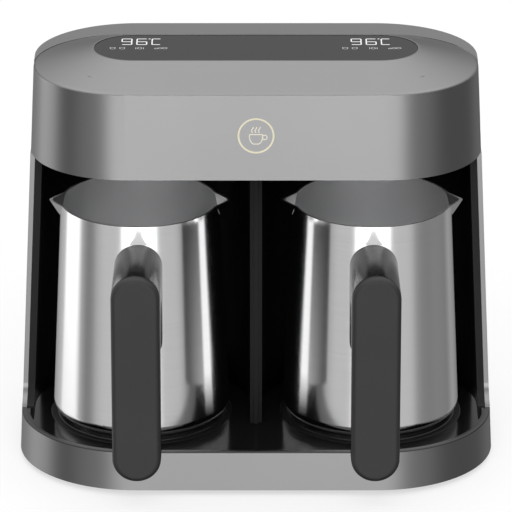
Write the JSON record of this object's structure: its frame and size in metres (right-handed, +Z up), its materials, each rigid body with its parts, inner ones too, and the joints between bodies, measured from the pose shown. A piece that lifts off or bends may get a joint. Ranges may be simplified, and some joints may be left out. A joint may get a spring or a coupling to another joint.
{
  "type": "electric turkish coffee maker",
  "caption": "Electric Turkish coffee maker: a rounded housing with warming bays side by side under a touch-glass head, and lift-out steel pots with side pouring lips.",
  "frame": {"origin": "centre of the bounding box, on the surface that the feet stand on", "axes": "+Z up, the front faces -Y, +X runs from the left pot to the right pot as seen from the front"},
  "size_m": [0.2412, 0.1748, 0.2115],
  "materials": {
    "housing": "satin",
    "tray": "gloss",
    "liner": "gloss",
    "inner_plastic": "matte",
    "gland": "matte",
    "feet": "matte",
    "screw_steel": "bright",
    "touch_glass": "smoked",
    "display": "matte",
    "board": "matte",
    "parts_black": "matte",
    "transformer": "matte",
    "light_ring": "satin",
    "plate": "dark anodised",
    "seal": "matte",
    "heater": "mica",
    "clamp": "plain",
    "sensor": "matte",
    "pot_steel": "brushed",
    "bracket": "plain",
    "handle_gloss": "gloss",
    "handle_matte": "matte"
  },
  "bodies": {
    "machine": {"base_screws": "screw_steel", "base_shell": "housing", "base_tray": "tray", "bay_liner": "liner", "bottom_cover": "inner_plastic", "buzzer": "parts_black", "cord_gland": "gland", "head_screws": "screw_steel", "head_shell": "housing", "head_underplate": "inner_plastic", "heater_relays": "parts_black", "icon_light_board": "board", "icon_ring": "light_ring", "left_boil_sensor": "sensor", "left_display": "display", "left_foil_heater": "heater", "left_heater_clamp": "clamp", "left_heater_plate": "plate", "left_heater_seal": "seal", "left_thermal_sensor": "sensor", "power_board": "board", "rear_housing": "housing", "right_boil_sensor": "sensor", "right_display": "display", "right_foil_heater": "heater", "right_heater_clamp": "clamp", "right_heater_plate": "plate", "right_heater_seal": "seal", "right_thermal_sensor": "sensor", "rubber_feet": "feet", "supply_transformer": "transformer", "touch_board": "board", "touch_glass": "touch_glass"},
    "left_pot": {"left_pot_body": "pot_steel", "left_pot_base_disc": "pot_steel", "left_handle_bracket": "bracket", "left_handle_frame": "handle_gloss", "left_handle_pad": "handle_matte", "left_handle_screw": "screw_steel"},
    "right_pot": {"right_pot_body": "pot_steel", "right_pot_base_disc": "pot_steel", "right_handle_bracket": "bracket", "right_handle_frame": "handle_gloss", "right_handle_pad": "handle_matte", "right_handle_screw": "screw_steel"}
  },
  "joints": [
    {"name": "left_pot_draw", "type": "slide", "parent": "machine", "child": "left_pot", "axis": [0, -0.9636, 0.2672], "range_m": [0, 0.15]},
    {"name": "right_pot_draw", "type": "slide", "parent": "machine", "child": "right_pot", "axis": [0, -0.9636, 0.2672], "range_m": [0, 0.15]}
  ]
}
